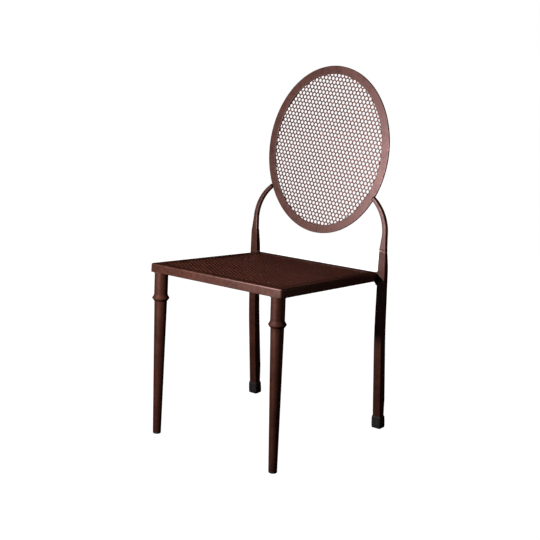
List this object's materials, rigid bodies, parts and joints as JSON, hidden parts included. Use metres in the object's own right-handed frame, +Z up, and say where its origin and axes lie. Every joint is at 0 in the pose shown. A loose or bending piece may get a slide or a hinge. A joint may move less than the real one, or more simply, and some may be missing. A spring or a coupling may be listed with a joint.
{
  "type": "dining chair",
  "caption": "Welded iron dining chair: perforated oval back on bent stiles, perforated seat in a tube frame, tapered round front legs with collars, square rear legs.",
  "frame": {"origin": "centre of the chair's box, on the floor under its four feet", "axes": "+Z up, -Y towards the front of the chair, X across its width"},
  "size_m": [0.4466, 0.5002, 0.9531],
  "materials": {
    "painted_iron": "satin oxide-brown paint",
    "painted_sheet": "satin oxide-brown paint on perforated sheet",
    "painted_weld": "satin paint over weld metal",
    "rubber_cap": "matt black rubber",
    "nylon_glide": "matt dark nylon"
  },
  "bodies": {
    "root": {"seat_front_rail": "painted_iron", "seat_rear_rail": "painted_iron", "seat_left_rail": "painted_iron", "seat_right_rail": "painted_iron", "seat_panel": "painted_sheet", "seat_tack_welds": "painted_weld", "front_left_leg": "painted_iron", "front_right_leg": "painted_iron", "front_left_collar": "painted_iron", "front_right_collar": "painted_iron", "front_left_glide": "nylon_glide", "front_right_glide": "nylon_glide", "rear_left_leg": "painted_iron", "rear_right_leg": "painted_iron", "rear_left_cap": "rubber_cap", "rear_right_cap": "rubber_cap", "left_stile": "painted_iron", "right_stile": "painted_iron", "back_rim_left": "painted_iron", "back_rim_right": "painted_iron", "rim_seam_welds": "painted_weld", "back_panel": "painted_sheet", "back_tack_welds": "painted_weld"}
  },
  "joints": []
}
